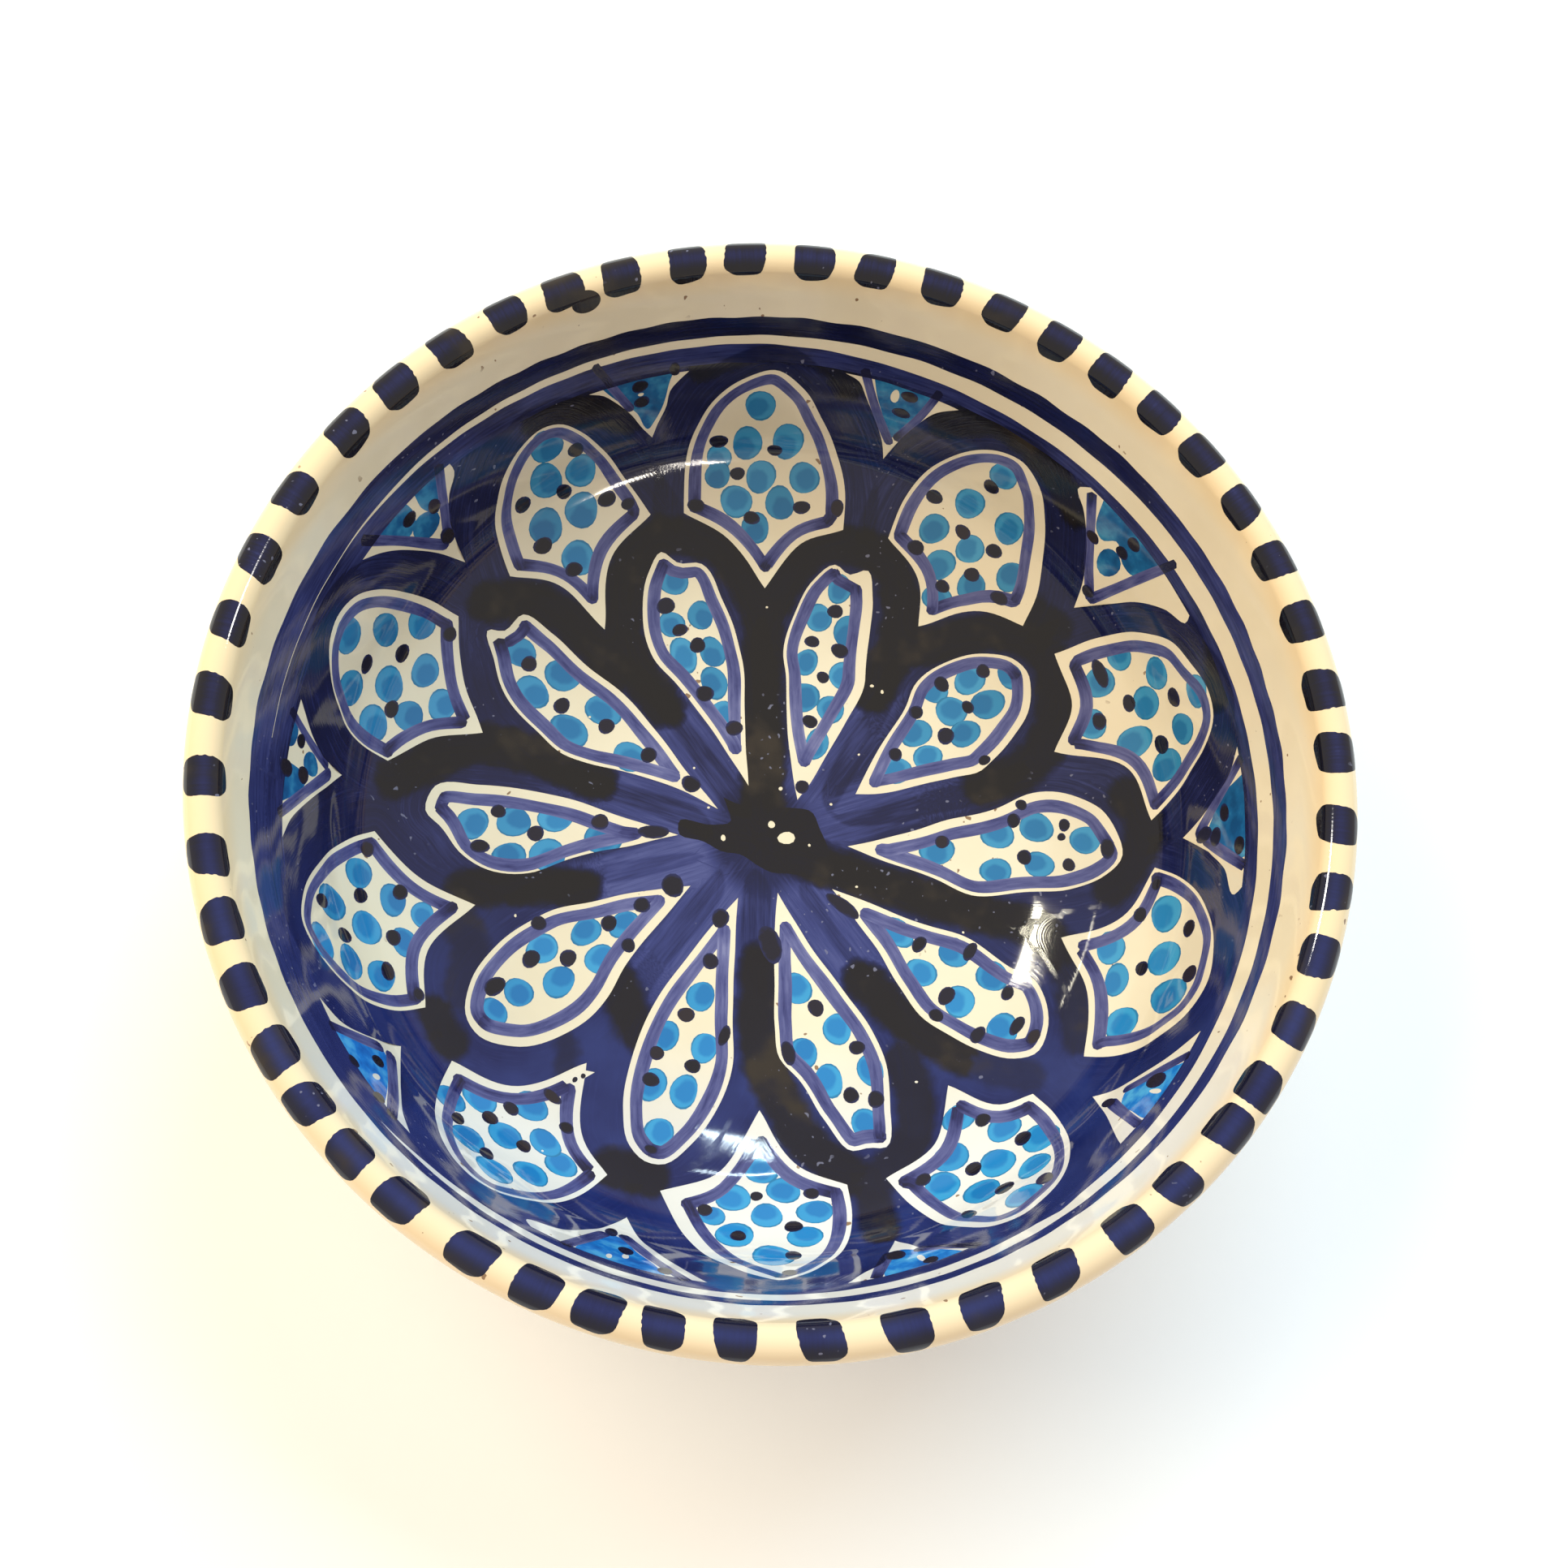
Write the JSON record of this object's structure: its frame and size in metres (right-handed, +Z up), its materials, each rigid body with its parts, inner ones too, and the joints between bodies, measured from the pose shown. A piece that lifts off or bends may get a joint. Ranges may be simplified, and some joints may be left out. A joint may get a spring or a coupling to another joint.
{
  "type": "hand painted ceramic dish",
  "caption": "Deep round serving dish with a rolled lip and a foot ring, glazed cream and brush painted inside with a blue rosette of petals, dabs and lip dashes.",
  "frame": {"origin": "centre of the foot ring's resting plane", "axes": "+Z up out of the hollow, on the axis of turning; +X runs through the middle of an inner petal"},
  "size_m": [0.25, 0.25, 0.0764],
  "materials": {
    "fired_clay": "matte, unglazed",
    "cream_glaze": "gloss tin glaze",
    "navy_cobalt": "gloss, brushed",
    "violet_cobalt": "gloss, thin brush line",
    "turquoise_copper": "gloss, brushed",
    "black_manganese": "gloss, brushed"
  },
  "bodies": {
    "root": {"clay_body": "fired_clay", "white_glaze": "cream_glaze", "rim_dashes": "navy_cobalt", "outer_ring_line": "navy_cobalt", "inner_ring_band": "violet_cobalt", "outer_petal_arcs": "navy_cobalt", "inner_petal_loops": "navy_cobalt", "centre_patch": "black_manganese", "outer_petal_outlines": "violet_cobalt", "inner_petal_outlines": "violet_cobalt", "corner_outlines": "violet_cobalt", "corner_washes": "turquoise_copper", "outer_petal_dabs": "turquoise_copper", "inner_petal_dabs": "turquoise_copper", "outer_petal_dots": "black_manganese", "inner_petal_dots": "black_manganese", "corner_dots": "black_manganese"}
  },
  "joints": []
}
